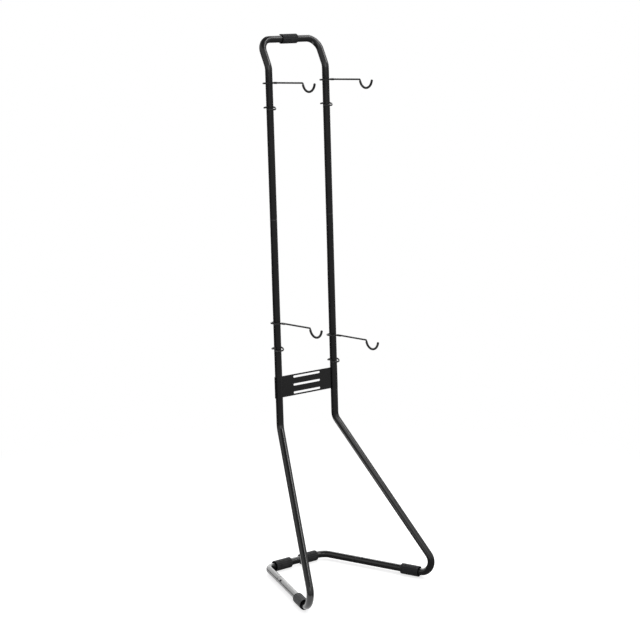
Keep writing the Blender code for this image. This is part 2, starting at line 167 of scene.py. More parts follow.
powder = {
    "dark": (0.0078, 0.0078, 0.0081),
    "pale": (0.0118, 0.0118, 0.0122),
    "mottle": (0.35, 0.65),  # noise that is all dark, and all pale
    "roughness": 0.13,
    "waves": 420,  # to the metre
    "waveDepth": 0.000022,
    "grain": 2600,
    "grainDepth": 0.000004,
    "grainDull": 0.05,  # what it adds to the roughness
    "cloud": 11,
    "cloudShare": 0.7,  # of the mottle, where the grain has the rest
    "cloudDull": 0.08,
}


def paintPowder(look):
    place = look.place()
    waves = look.noise(place, powder["waves"])
    grain = look.noise(place, powder["grain"], detail=3)
    cloud = look.noise(place, powder["cloud"], detail=4, roughness=0.6)
    relief = look.bump(waves, powder["waveDepth"])
    relief = look.bump(grain, powder["grainDepth"], relief)
    mottle = cloud * powder["cloudShare"] + grain * (1 - powder["cloudShare"])
    return {
        "Base Color": look.mix(look.band(mottle, *powder["mottle"]), powder["dark"], powder["pale"]),
        "Roughness": powder["roughness"] + powder["cloudDull"] * cloud + powder["grainDull"] * grain,
        "Normal": relief,
    }


powderCoat = finish("powderCoat", {}, paintPowder)


# Coat of the wires: the same powder, thinner and duller, dark where the lap is welded: heat-darkened there,
# and with painted shade of the valley between the two wires

wirePaint = {
    "dark": (0.0060, 0.0060, 0.0062),
    "pale": (0.0110, 0.0110, 0.0113),
    "mottle": (0.35, 0.7),
    # colour of the lap: heat-darkened, with painted shade of the valley between the arm and the bracket
    "burntAndShaded": (0.002, 0.002, 0.002),
    "burntAndShadedFrom": -0.053,  # along the arm
    "burntAndShadedTo": -0.026,
    "burntAndShadedFade": 0.004,
    "roughness": 0.40,
    "grain": 2200,
    "grainDepth": 0.000004,
    "cloud": 30,
    "cloudDull": 0.10,
}


def paintWire(look):
    place = look.place()
    grain = look.noise(place, wirePaint["grain"], detail=3)
    cloud = look.noise(place, wirePaint["cloud"], detail=4, roughness=0.6)
    coat = look.mix(look.band(cloud, *wirePaint["mottle"]), wirePaint["dark"], wirePaint["pale"])
    out = look.axes(place)[1]
    start, end, fade = wirePaint["burntAndShadedFrom"], wirePaint["burntAndShadedTo"], wirePaint["burntAndShadedFade"]
    # Painted shade: the band along the lap is darkened for the shade between the arm and the bracket wires,
    # as well as for the heat of welding
    burntAndShaded = look.band(out, start - fade, start) * (1 - look.band(out, end, end + fade))
    return {
        "Base Color": look.mix(burntAndShaded, coat, wirePaint["burntAndShaded"]),
        "Roughness": wirePaint["roughness"] + wirePaint["cloudDull"] * cloud,
        "Normal": look.bump(grain, wirePaint["grainDepth"]),
    }


wireCoat = finish("wireCoat", {}, paintWire)


# Vinyl that the hooks were dipped in: soft sheen, slow sags along the wire

dip = {
    "dark": (0.0040, 0.0040, 0.0042),
    "pale": (0.0078, 0.0078, 0.0080),
    "mottle": (0.45, 0.75),
    "roughness": 0.44,
    "sags": 160,
    "sagDepth": 0.00006,
    "dust": 900,
    "dustDepth": 0.000006,
    "dustDull": 0.10,
}


def paintVinyl(look):
    place = look.place()
    sags = look.noise(place, dip["sags"], detail=1)
    dust = look.noise(place, dip["dust"], detail=4, roughness=0.7)
    relief = look.bump(sags, dip["sagDepth"])
    return {
        "Base Color": look.mix(look.band(dust, *dip["mottle"]), dip["dark"], dip["pale"]),
        "Roughness": dip["roughness"] + dip["dustDull"] * dust,
        "Normal": look.bump(dust, dip["dustDepth"], relief),
    }


vinyl = finish("vinyl", {}, paintVinyl)


# Rubber of the sleeves: matte, with a fine moulded grain and a trace of pale bloom

gum = {
    "dark": (0.0190, 0.0192, 0.0205),
    "bloom": (0.0330, 0.0335, 0.0355),
    "mottle": (0.40, 0.68),
    "roughness": 0.60,
    "grain": 1900,
    "grainDepth": 0.00003,
    "patches": 55,  # of bloom
    "patchShare": 0.7,
    "patchDull": 0.16,
}


def paintRubber(look):
    place = look.place()
    grain = look.noise(place, gum["grain"], detail=3, roughness=0.6)
    patches = look.noise(place, gum["patches"], detail=5, roughness=0.65)
    mottle = patches * gum["patchShare"] + grain * (1 - gum["patchShare"])
    return {
        "Base Color": look.mix(look.band(mottle, *gum["mottle"]), gum["dark"], gum["bloom"]),
        "Roughness": gum["roughness"] + gum["patchDull"] * patches,
        "Normal": look.bump(grain, gum["grainDepth"]),
    }


rubber = finish("rubber", {"Specular IOR Level": 0.30}, paintRubber)


# Black oxide of the screws and zinc of the rivet nuts

metal = {
    "mottle": (0.35, 0.65),
    "grain": 9,  # times as fine as the stains
    "grainDepth": 0.000006,
    "stainDull": 0.15,
}
oxide = {
    "dark": (0.018, 0.018, 0.020),
    "pale": (0.045, 0.045, 0.048),
    "metallic": 0.9,
    "roughness": 0.28,
    "stains": 420,
}
plating = {
    "dark": (0.42, 0.42, 0.40),
    "pale": (0.62, 0.62, 0.58),
    "metallic": 1.0,
    "roughness": 0.26,
    "stains": 300,
}


def metalFinish(name, kind):
    def paint(look):
        place = look.place()
        stain = look.noise(place, kind["stains"], detail=4, roughness=0.6)
        grain = look.noise(place, kind["stains"] * metal["grain"])
        return {
            "Base Color": look.mix(look.band(stain, *metal["mottle"]), kind["dark"], kind["pale"]),
            "Roughness": kind["roughness"] + metal["stainDull"] * stain,
            "Normal": look.bump(grain, metal["grainDepth"]),
        }
    return finish(name, {"Metallic": kind["metallic"]}, paint)


blackOxide = metalFinish("blackOxide", oxide)
zinc = metalFinish("zinc", plating)
print("finishes made")


# Shapes

def arcAngles(start, stop, step):
    # Even angles no further apart than the step, give or take a thousandth of it
    count = max(1, math.ceil(abs(stop - start) / step - 0.001))
    return [start + (stop - start) * i / count for i in range(count + 1)]


def roundedPath(corners, step):
    # Points along straight runs. Each corner is a point and the radius of the bend there.
    path = [corners[0][0]]
    for (before, _), (corner, radius), (after, _) in zip(corners, corners[1:], corners[2:]):
        runIn = (corner - before).normalized()
        runOut = (after - corner).normalized()
        turn = runIn.angle(runOut)
        if radius == 0 or turn < math.radians(1):
            path.append(corner)
            continue
        start = corner - runIn * radius * math.tan(turn / 2)
        side = (runOut - runIn * runOut.dot(runIn)).normalized()
        centre = start + side * radius
        for angle in arcAngles(0, turn, step):
            path.append(centre + (runIn * math.sin(angle) - side * math.cos(angle)) * radius)
    path.append(corners[-1][0])
    return path


def filled(path, longest):
    # The same path with its long runs divided
    full = [path[0]]
    for before, after in zip(path, path[1:]):
        count = max(1, math.ceil((after - before).length / longest))
        full += [before.lerp(after, i / count) for i in range(1, count + 1)]
    return full


def stationsAlong(path):
    # Each point with the direction of the path and two directions across it, twisted as little as can be
    stations = []
    across = None
    for index, point in enumerate(path):
        runIn = (point - path[max(index - 1, 0)]).normalized()
        runOut = (path[min(index + 1, len(path) - 1)] - point).normalized()
        direction = (runIn + runOut).normalized()
        if across is None:
            across = direction.orthogonal()
        across = (across - direction * across.dot(direction)).normalized()
        stations.append((point, direction, across, direction.cross(across)))
    return stations


upwards = (Vector(), Vector((0, 0, 1)), Vector((1, 0, 0)), Vector((0, 1, 0)))  # station of a turned shape


def ring(station, radius, ahead, sides):
    # Points round a station. The radius is a number or a function of the angle.
    point, direction, across, beside = station
    found = []
    for index in range(sides):
        angle = 2 * math.pi * index / sides
        reach = radius(angle) if callable(radius) else radius
        outwards = across * math.cos(angle) + beside * math.sin(angle)
        found.append(point + direction * ahead + outwards * reach)
    return found


def meshed(name, shape):
    # Mesh with the faces of a bmesh, which is freed
    mesh = bpy.data.meshes.new(name)
    shape.to_mesh(mesh)
    shape.free()
    return mesh


def smoothed(mesh, crisp):
    # Smooth shading, apart from edges sharper than an angle in degrees
    mesh.shade_smooth()
    mesh.set_sharp_from_angle(angle=math.radians(crisp))


def skin(name, rings, closed=False, crisp=50):
    # Mesh through rings of points, closed on itself or capped at both ends
    shape = bmesh.new()
    loops = [[shape.verts.new(point) for point in points] for points in rings]
    pairs = list(zip(loops, loops[1:]))
    if closed:
        pairs.append((loops[-1], loops[0]))
    else:
        shape.faces.new(loops[0][::-1])
        shape.faces.new(loops[-1])
    for one, other in pairs:
        for index in range(len(one)):
            after = (index + 1) % len(one)
            shape.faces.new((one[index], one[after], other[after], other[index]))
    bmesh.ops.recalc_face_normals(shape, faces=shape.faces)
    mesh = meshed(name, shape)
    smoothed(mesh, crisp)
    return mesh


def along(point, direction):
    # Places a shape's Z axis along a direction, at a point
    turn = Vector(direction).to_track_quat("Z", "Y")
    return Matrix.Translation(point) @ turn.to_matrix().to_4x4()


def addPiece(name, mesh, material, body, replaced, place=None):
    # Object of the stand that rides on a body of the frame
    mesh.materials.clear()
    mesh.materials.append(material)
    piece = linked(name, mesh)
    if place is not None:
        piece.matrix_world = place
    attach(piece, body)
    if replaced:
        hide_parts(*replaced)
    return piece


# Frame on its centre lines

stand = {
    "halfSpacing": 0.1254,
    "uprightDepth": 0.12045,
    "lowerBendHeight": 0.5546,
    "upperBendHeight": 1.8031,
    "topHeight": 1.8949,
    "topSetBack": 0.0491,
    "footHalfWidth": 0.2965,
    "footReach": 0.3956,
    "rearHalfWidth": 0.1296,
    "rearSetBack": 0.0703,
    "baseHeight": 0.0186,
    "uprightSeamHeight": 1.285,
    "railSeamFromRear": 0.138,
}
slideAxis = Vector(joints["upper_left_slide"]["axis"])
lean = math.atan2(slideAxis.y, slideAxis.z)
upright = Vector((0, math.sin(lean), math.cos(lean)))
back = Vector((0, math.cos(lean), -math.sin(lean)))
up = Vector((0, 0, 1))
sides = {"left": -1, "right": 1}


def uprightPoint(side, height):
    depth = stand["uprightDepth"] + (height - stand["lowerBendHeight"]) * math.tan(lean)
    return Vector((side * stand["halfSpacing"], depth, height))


def topCorner(side):
    shoulder = uprightPoint(side, stand["upperBendHeight"])
    return Vector((shoulder.x, shoulder.y + stand["topSetBack"], stand["topHeight"]))


def footCorner(side):
    depth = stand["uprightDepth"] - stand["footReach"]
    return Vector((side * stand["footHalfWidth"], depth, stand["baseHeight"]))


def rearCorner(side):
    depth = stand["uprightDepth"] + stand["rearSetBack"]
    return Vector((side * stand["rearHalfWidth"], depth, stand["baseHeight"]))


def railDirection(side):
    return (footCorner(side) - rearCorner(side)).normalized()


def railSeam(side):
    return rearCorner(side) + railDirection(side) * stand["railSeamFromRear"]


def leaning(point):
    # Places a shape at a point, tilted back like the uprights
    return Matrix.Translation(point) @ Euler((-lean, 0, 0)).to_matrix().to_4x4()


# Bent tubes. One end of a joint is necked down and slides into the next tube.

tube = {
    "radius": 0.0127,
    "wall": 0.0012,
    "sides": 48,
    "bend": 0.045,
    "rearBend": 0.042,
    "step": math.radians(3.5),
    "longest": 0.04,
    "lip": 0.00035,  # rounding of a cut end, under its paint
    "lipShare": 0.3,  # of it, cut away at the middle of the rounding
    "endRun": 0.004,  # from an end to the next ring of points
    "root": 0.0001,  # of the neck, ahead of the end that it comes out of
    "neck": 0.0111,
    "neckLength": 0.055,
    "gap": 0.0006,  # between a tube's end and the shoulder of the next
}


def tubeEnd(necked):
    # Outline of an end, from the outer side to the bore: how far ahead of the end, and the radius
    outer, inner, lip, run = tube["radius"], tube["radius"] - tube["wall"], tube["lip"], tube["endRun"]
    cut = tube["lipShare"] * lip
    rim = [(-run, outer), (-lip, outer), (-cut, outer - cut), (0, outer - lip)]
    if not necked:
        return rim + [(0, inner + lip), (-lip, inner), (-run, inner)]
    neck, reach = tube["neck"], tube["neckLength"]
    bore = neck - tube["wall"]
    rim += [(tube["root"], neck + lip), (lip, neck), (run, neck), (reach - run / 2, neck)]
    rim += [(reach, neck - lip), (reach, bore + lip), (reach - lip, bore), (0, bore)]
    return rim + [(-run, inner)]


def pipe(name, corners, necks=(False, False)):
    path = filled(roundedPath(corners, tube["step"]), tube["longest"])
    stations = stationsAlong(path)
    count = tube["sides"]
    start = [ring(stations[0], radius, -ahead, count) for ahead, radius in tubeEnd(necks[0])]
    end = [ring(stations[-1], radius, ahead, count) for ahead, radius in tubeEnd(necks[1])]
    outer = [ring(station, tube["radius"], 0, count) for station in stations[1:-1]]
    inner = [ring(station, tube["radius"] - tube["wall"], 0, count) for station in stations[1:-1]]
    return skin(name, start[::-1] + outer + end + inner[::-1], closed=True)


def makeTubes():
    left, right = [
        [
            (uprightPoint(side, stand["uprightSeamHeight"]) + upright * tube["gap"], 0),
            (uprightPoint(side, stand["upperBendHeight"]), tube["bend"]),
            (topCorner(side), tube["bend"]),
        ]
        for side in (-1, 1)
    ]
    meshes = {"upper_tube": pipe("upper_tube", left + right[::-1])}
    for word, side in sides.items():
        corners = [
            (railSeam(side) + railDirection(side) * tube["gap"], 0),
            (footCorner(side), tube["bend"]),
            (uprightPoint(side, stand["lowerBendHeight"]), tube["bend"]),
            (uprightPoint(side, stand["uprightSeamHeight"]), 0),
        ]
        meshes[word + "_leg_tube"] = pipe(word + "_leg_tube", corners, (False, True))
    corners = [
        (railSeam(-1), 0),
        (rearCorner(-1), tube["rearBend"]),
        (rearCorner(1), tube["rearBend"]),
        (railSeam(1), 0),
    ]
    meshes["rear_base_tube"] = pipe("rear_base_tube", corners, (True, True))
    for node, mesh in meshes.items():
        addPiece(node + "_coated", mesh, powderCoat, "frame", [node])


makeTubes()
print("tubes made")


# Rubber sleeves, fluted along their length, with a counterbore at each end

sleeve = {
    "footRadius": 0.0190,
    "bumperRadius": 0.0166,
    "bore": 0.01278,
    "rim": 0.0006,
    "footLength": 0.070,
    "bumperLength": 0.066,
    "frontFromFoot": 0.131,
    "rearPlace": {"left": -0.064, "right": 0.0564},  # across the stand
    "flutes": 16,
    "fluteDepth": 0.0013,
    "endFlutes": 0.15,  # share of that depth on the rounded rim
    "fluteRun": 0.001,  # inside the rim, where they reach their depth
    "perFlute": 8,
    "recessDepth": 0.0090,
    "wall": 0.0014,  # of the rim round the counterbore
    "lip": 0.0003,
    "boreRun": 0.003,  # from the counterbore's floor to the next ring of points
    "rimTurn": math.pi / 2.2,
    "rimStep": 0.3,
    "pace": 0.008,  # between rings along the length
}


def fluted(radius, share):
    # Radius round the sleeve, where share is how deep its flutes are
    def reach(angle):
        groove = (0.5 - 0.5 * math.cos(sleeve["flutes"] * angle)) ** 2
        return radius - sleeve["fluteDepth"] * share * groove
    return reach


def sleeveMesh(name, length, outer):
    # Outline of one end, out of the bore, over the counterbore's floor and wall and round the rim
    half, rim, bore, lip = length / 2, sleeve["rim"], sleeve["bore"], sleeve["lip"]
    floor, wide = half - sleeve["recessDepth"], outer - sleeve["wall"]
    end = [(floor - sleeve["boreRun"], bore), (floor - lip, bore), (floor, bore + lip), (floor, wide - lip)]
    end += [(floor + lip, wide), (half - lip, wide), (half, wide + lip)]
    for angle in arcAngles(sleeve["rimTurn"], 0, sleeve["rimStep"]):
        end.append((half - rim + rim * math.sin(angle), outer - rim + rim * math.cos(angle)))
    outline = [(ahead, radius, sleeve["endFlutes"] if radius > wide + lip else 0) for ahead, radius in end]
    # The side between the rims, and the other end the same way back
    count = max(2, math.ceil(2 * (half - rim) / sleeve["pace"]))
    inside = half - rim - sleeve["fluteRun"]
    outline += [(inside - 2 * inside * i / count, outer, 1) for i in range(count + 1)]
    outline += [(-ahead, radius, share) for ahead, radius, share in outline[len(end) - 1::-1]]
    rings = []
    for ahead, radius, share in outline:
        rings.append(ring(upwards, fluted(radius, share), ahead, sleeve["flutes"] * sleeve["perFlute"]))
    return skin(name, rings, closed=True, crisp=60)


def makeSleeves():
    for word, side in sides.items():
        front = footCorner(side) - railDirection(side) * sleeve["frontFromFoot"]
        rear = Vector((sleeve["rearPlace"][word], rearCorner(side).y, stand["baseHeight"]))
        feet = (("front", front, railDirection(side)), ("rear", rear, Vector((1, 0, 0))))
        for end, centre, direction in feet:
            node = end + "_" + word + "_foot_sleeve"
            mesh = sleeveMesh(node, sleeve["footLength"], sleeve["footRadius"])
            mesh.transform(along(centre, direction))
            for vertex in mesh.vertices:
                vertex.co.z = max(vertex.co.z, 0)  # pressed flat where it stands
            addPiece(node + "_fluted", mesh, rubber, "frame", [node])
    mesh = sleeveMesh("wall_bumper_sleeve", sleeve["bumperLength"], sleeve["bumperRadius"])
    mesh.transform(along((topCorner(-1) + topCorner(1)) / 2, (1, 0, 0)))
    addPiece("wall_bumper_sleeve_fluted", mesh, rubber, "frame", ["wall_bumper_sleeve"])


makeSleeves()
print("sleeves made")


# Crossbar plate

plate = {
    "centreHeight": 0.6965,
    "height": 0.076,
    "sheet": 0.0020,
    "clear": 0.0003,  # from the tube that it curls round
    "endAngle": math.radians(190),
    "bend": 0.0025,
    "step": math.radians(6),
    "slotLength": 0.121,
    "slotHeight": 0.0072,
    "slotPitch": 0.0285,
    "slotStep": math.pi / 16,
    "edge": 0.0003,
}


def platePath(radius):
    # The sheet from above: round the left upright, across between the two, round the right one
    bend, spacing = plate["bend"], stand["halfSpacing"]
    reach = math.sqrt((radius + bend) ** 2 - bend ** 2)
    leave = math.asin(bend / (radius + bend))
    path = []
    for angle in arcAngles(plate["endAngle"], leave, plate["step"]):
        path.append(Vector((radius * math.cos(angle) - spacing, radius * math.sin(angle), 0)))
    for angle in arcAngles(math.pi + leave, math.pi * 1.5, plate["step"] * 2)[1:]:
        path.append(Vector((reach + bend * math.cos(angle) - spacing, bend + bend * math.sin(angle), 0)))
    return path + [Vector((-point.x, point.y, 0)) for point in reversed(path)]


def slotCutter(row):
    radius = plate["slotHeight"] / 2
    reach = plate["slotLength"] / 2 - radius
    level = row * plate["slotPitch"]
    shape = bmesh.new()
    outline = []
    for middle, start in ((reach, -math.pi / 2), (-reach, math.pi / 2)):
        for angle in arcAngles(start, start + math.pi, plate["slotStep"]):
            outline.append((middle + radius * math.cos(angle), level + radius * math.sin(angle)))
    face = shape.faces.new([shape.verts.new((x, -tube["radius"], z)) for x, z in outline])
    pulled = bmesh.ops.extrude_face_region(shape, geom=[face])["geom"]
    verts = [item for item in pulled if isinstance(item, bmesh.types.BMVert)]
    bmesh.ops.translate(shape, vec=(0, 2 * tube["radius"], 0), verts=verts)
    bmesh.ops.recalc_face_normals(shape, faces=shape.faces)
    return linked("slotCutter" + str(row), meshed("slotCutter", shape))


def settled(piece):
    # Mesh of an object with its modifiers worked out, and the object removed
    bpy.context.view_layer.update()
    depsgraph = bpy.context.evaluated_depsgraph_get()
    mesh = bpy.data.meshes.new_from_object(piece.evaluated_get(depsgraph))
    bpy.data.objects.remove(piece, do_unlink=True)
    return mesh


def makePlate():
    path = platePath(tube["radius"] + plate["clear"] + plate["sheet"] / 2)
    shape = bmesh.new()
    rows = []
    for height in (-plate["height"] / 2, plate["height"] / 2):
        rows.append([shape.verts.new(point + up * height) for point in path])
    for index in range(len(path) - 1):
        shape.faces.new((rows[0][index], rows[0][index + 1], rows[1][index + 1], rows[1][index]))
    blank = linked("blank", meshed("crossbar_plate_sheet", shape))
    sheet = blank.modifiers.new("sheet", "SOLIDIFY")
    sheet.thickness = plate["sheet"]
    sheet.offset = 0
    sheet.use_even_offset = True
    cutters = [slotCutter(row) for row in (-1, 0, 1)]
    for cutter in cutters:
        slot = blank.modifiers.new("slot", "BOOLEAN")
        slot.operation = "DIFFERENCE"
        slot.solver = "EXACT"
        slot.object = cutter
    edge = blank.modifiers.new("edge", "BEVEL")
    edge.width = plate["edge"]
    edge.segments = 2
    edge.limit_method = "ANGLE"
    edge.angle_limit = math.radians(60)
    mesh = settled(blank)
    for cutter in cutters:
        bpy.data.objects.remove(cutter, do_unlink=True)
    smoothed(mesh, crisp=35)
    mesh.transform(leaning(uprightPoint(0, plate["centreHeight"])))
    piece = addPiece("crossbar_plate_coated", mesh, powderCoat, "frame", ["crossbar_plate"])
    piece.modifiers.new("shading", "WEIGHTED_NORMAL").keep_sharp = True


makePlate()
print("plate made")


# Button-head screws, and the rivet nuts inside the tubes

screw = {
    "radius": 0.0025,
    "length": 0.0110,
    "headRadius": 0.00475,
    "headHeight": 0.0019,
    "crown": 0.45,  # share of the head that is flat round the socket
    "skirt": 0.0002,  # upright edge of the head, under its dome
    "domeStep": 0.25,
    "lip": 0.0001,
    "tipEdge": 0.0005,
    "socketAcross": 0.0017,  # from the middle to a corner
    "socketDepth": 0.0011,
    "socketRing": 0.5,  # share of its width where its floor has a ring of points
    "clear": 0.0003,
    "sides": 36,  # a multiple of the socket's six
    "fromSeam": 0.028,
    "baseRise": {"left": math.radians(132), "right": math.radians(60)},  # above the rail's inner side
    "plateOffset": 0.022,
}


def hexagon(angle):
    # Distance from the middle to a side of the socket
    part = angle % (math.pi / 3) - math.pi / 6
    return screw["socketAcross"] * math.cos(math.pi / 6) / math.cos(part)


def screwMesh(name):
    # Outline from the bottom of the socket, over the head and down the shank
    head, tall, lip, skirt = screw["headRadius"], screw["headHeight"], screw["lip"], screw["skirt"]
    shank, end, edge = screw["radius"], -screw["length"], screw["tipEdge"]
    crown = head * screw["crown"]
    floor = tall - screw["socketDepth"]
    outline = [(floor, lambda angle: hexagon(angle) * screw["socketRing"]), (floor, hexagon)]
    outline += [(tall - lip, hexagon), (tall, lambda angle: hexagon(angle) + lip), (tall, crown)]
    for angle in arcAngles(math.pi / 2, 0, screw["domeStep"])[1:]:
        outline.append((skirt + (tall - skirt) * math.sin(angle), crown + (head - crown) * math.cos(angle)))
    outline += [(0, head - lip), (0, shank), (end + edge, shank), (end, shank - edge)]
    return skin(name, [ring(upwards, radius, ahead, screw["sides"]) for ahead, radius in outline], crisp=32)


def makeScrews():
    tubeFace = tube["radius"] + screw["clear"]
    plateFace = tube["radius"] + plate["clear"] + plate["sheet"] + screw["clear"]
    for word, side in sides.items():
        joint = uprightPoint(side, stand["uprightSeamHeight"]) + upright * screw["fromSeam"]
        places = {word + "_upright_joint": (joint, back, tubeFace)}
        joint = railSeam(side) + railDirection(side) * screw["fromSeam"]
        inwards = railDirection(side).cross(up) * side
        rise = screw["baseRise"][word]
        way = inwards * math.cos(rise) + up * math.sin(rise)
        places[word + "_base_joint"] = (joint, way, tubeFace)
        for row, level in ((-1, "lower"), (1, "upper")):
            joint = uprightPoint(side, plate["centreHeight"]) + upright * screw["plateOffset"] * row
            places[word + "_" + level + "_plate"] = (joint, back, plateFace)
        for name, (joint, way, reach) in places.items():
            mesh = screwMesh(name + "_screw")
            mesh.transform(along(joint + way * reach, way))
            addPiece(name + "_screw_fine", mesh, blackOxide, "frame", [name + "_screw"])
            nut = frame["nodes"][name + "_nut"]
            nut.data.materials.clear()
            nut.data.materials.append(zinc)


makeScrews()
print("screws made")


# Wire arms, in the frame of an arm: the upright is the Z axis, and the hook points to -Y

arm = {
    "wire": 0.0030,
    "sides": 20,
    "step": math.radians(5),
    "longest": 0.012,
    "endOut": 0.0280,
    "lapStartOut": 0.0500,
    "lapAside": -0.0063,
    "lapBend": 0.0120,
    "eyeAside": -0.0022,
    "eyeHeight": -0.0012,
    "eyeRadius": 0.0178,
    "eyeEnd": math.radians(50),
    "spineBend": 0.0040,
    "hookRadius": 0.0311,
    "hookOut": 0.2132,
    "hookUp": 0.0022,
    "neckBend": 0.0040,
    "neckAngle": math.radians(193.5),
    "tipAngle": math.radians(355),
    "ringRadius": 0.0192,
    "ringDrop": {"upper": 0.0838, "lower": 0.0917},
    "clear": 0.0006,  # between the bracket's foot and the ring
}

# Angle and height of the ring's wire: a full turn from its upper end at the front left, round behind
# the upright and down across the front, to its other end under the first
ringStations = ((-151, 0.0024), (-230, 0), (-345, 0.0009), (-430, -0.0063), (-480, -0.0063), (-515, -0.0042))

cover = {
    "radius": 0.0040,
    "bore": 0.0034,
    "tip": 0.0030,
    "short": 0.0010,  # how far from the neck it ends
    "lip": 0.0004,
    "swell": 0.00015,  # of the dip behind its lip
    "swellTail": 0.0001,
    "swellReach": 0.001,
    "slack": 0.0002,  # between the wire's end and the bottom of the bore
    "tipTurn": math.radians(78),
    "tipStep": 0.22,
    "sides": 24,
}

weld = {
    "radius": 0.0018,
    "rise": 0.0019,
    "pitch": 0.0016,  # between ripples
    "ripple": 0.10,
    "inset": 0.0012,
    "perRipple": 5,
    "endShare": 0.12,  # of its section, left where it ends
    "endPower": 8,  # the higher, the more sudden its ends
}


def rod(name, path, radius, sideCount):
    # Round bar with its end edges broken. The rings near an end are distances and radii, for a radius of 1.
    stations = stationsAlong(path)
    ends = [(0, 0.72), (0.12, 0.88), (0.30, 0.97), (0.6, 1)]
    start = [ring(stations[0], radius * share, radius * ahead, sideCount) for ahead, share in ends]
    end = [ring(stations[-1], radius * share, -radius * ahead, sideCount) for ahead, share in ends]
    middle = [ring(station, radius, 0, sideCount) for station in stations[1:-1]]
    return skin(name, start + middle + end[::-1])


def hookPoint(angle):
    radius = arm["hookRadius"]
    return Vector((0, -arm["hookOut"] - radius * math.cos(angle), arm["hookUp"] + radius * math.sin(angle)))


def hookPath():
    wireEnd = arm["tipAngle"] - cover["tip"] / arm["hookRadius"]
    return [hookPoint(angle) for angle in arcAngles(wireEnd, arm["neckAngle"], arm["step"])]


def armWireMesh(name):
    corners = [(point, 0) for point in hookPath()]
    corners.append((Vector((0, corners[-1][0].y, 0)), arm["neckBend"]))
    corners.append((Vector((0, -arm["endOut"], 0)), 0))
    return rod(name, filled(roundedPath(corners, arm["step"]), arm["longest"]), arm["wire"], arm["sides"])


def eyePoint(angle, height):
    radius = arm["eyeRadius"]
    return Vector((arm["eyeAside"] + radius * math.cos(angle), radius * math.sin(angle), height))


def armBracketMesh(name, ringDrop):
    lapEnd = Vector((arm["lapAside"] - arm["eyeAside"], -arm["endOut"]))
    first = math.atan2(lapEnd.y, lapEnd.x) - math.acos(arm["eyeRadius"] / lapEnd.length)
    foot = max(height for _, height in ringStations) - ringDrop + arm["wire"] + arm["clear"]
    corners = [
        (Vector((arm["lapAside"], -arm["lapStartOut"], 0)), 0),
        (Vector((arm["lapAside"], -arm["endOut"], 0)), arm["lapBend"]),
    ]
    roundEye = arcAngles(first % (2 * math.pi), arm["eyeEnd"], arm["step"])
    corners += [(eyePoint(angle, arm["eyeHeight"]), 0) for angle in roundEye[:-1]]
    corners.append((eyePoint(arm["eyeEnd"], arm["eyeHeight"]), arm["spineBend"]))
    corners.append((eyePoint(arm["eyeEnd"], foot), 0))
    return rod(name, filled(roundedPath(corners, arm["step"]), arm["longest"]), arm["wire"], arm["sides"])


def armRingMesh(name, ringDrop):
    path = []
    for (start, high), (stop, low) in zip(ringStations, ringStations[1:]):
        for angle in arcAngles(start, stop, math.degrees(arm["step"])):
            share = (angle - start) / (stop - start)
            height = high + (low - high) * share * share * (3 - 2 * share) - ringDrop
            turn = math.radians(angle)
            point = Vector((arm["ringRadius"] * math.cos(turn), arm["ringRadius"] * math.sin(turn), height))
            if not path or (point - path[-1]).length > arm["wire"] / 100:
                path.append(point)
    return rod(name, path, arm["wire"], arm["sides"])


def hookCoverMesh(name):
    # From the bottom of the bore to the mouth at the neck, over the lip and back outside to the rounded tip
    wire = stationsAlong(hookPath())
    neck, count = wire[-1], cover["sides"]
    outer, bore, lip, short = cover["radius"], cover["bore"], cover["lip"], cover["short"]
    mouth = [(-short - lip, bore), (-short, bore + lip / 2), (-short, outer - lip / 2)]
    mouth.append((-short - lip, outer + cover["swell"]))
    mouth.append((-short - cover["swellReach"], outer + cover["swellTail"]))
    rings = [ring(wire[0], bore, -cover["slack"], count)]
    rings += [ring(station, bore, 0, count) for station in wire[1:-1]]
    rings += [ring(neck, radius, ahead, count) for ahead, radius in mouth]
    rings += [ring(station, outer, 0, count) for station in wire[-2:0:-1]]
    for angle in arcAngles(0, cover["tipTurn"], cover["tipStep"]):
        rings.append(ring(wire[0], outer * math.cos(angle), -cover["tip"] * math.sin(angle), count))
    return skin(name, rings)


def weldMesh(name, above):
    # Bead in the valley between the arm and the bracket, built up in ripples
    start, end = -arm["lapStartOut"] + weld["inset"], -arm["endOut"] - weld["inset"]
    count = round((end - start) / weld["pitch"] * weld["perRipple"])
    aside, height = arm["lapAside"] / 2, above * weld["rise"]
    path = [Vector((aside, start + (end - start) * i / count, height)) for i in range(count + 1)]
    rings = []
    for index, station in enumerate(stationsAlong(path)):
        phase = index % weld["perRipple"] / weld["perRipple"]
        fade = math.sqrt(max(weld["endShare"], 1 - (2 * index / count - 1) ** weld["endPower"]))
        rings.append(ring(station, weld["radius"] * fade * (1 + weld["ripple"] * phase), 0, arm["sides"]))
    return skin(name, rings, crisp=70)


def makeArms():
    for level in ("upper", "lower"):
        for word in sides:
            name = level + "_" + word
            drop = arm["ringDrop"][level]
            place = leaning(Vector(joints[name + "_swivel"]["pos_m"]))
            loop, bracket, wire = name + "_arm_ring", name + "_arm_bracket", name + "_arm_wire"
            bars = (
                (loop, armRingMesh(loop, drop), name + "_ring"),
                (bracket, armBracketMesh(bracket, drop), name + "_arm"),
                (wire, armWireMesh(wire), name + "_arm"),
            )
            for node, mesh, body in bars:
                addPiece(node + "_coated", mesh, wireCoat, body, [node], place)
            hook = name + "_hook_cover"
            addPiece(hook + "_dipped", hookCoverMesh(hook), vinyl, name + "_arm", [hook], place)
            for face, above in (("top", 1), ("under", -1)):
                bead = name + "_arm_" + face + "_weld"
                addPiece(bead, weldMesh(bead, above), wireCoat, name + "_arm", (), place)


makeArms()
print("arms made")


# Studio: pale floor, white all round to the camera, and soft lamps

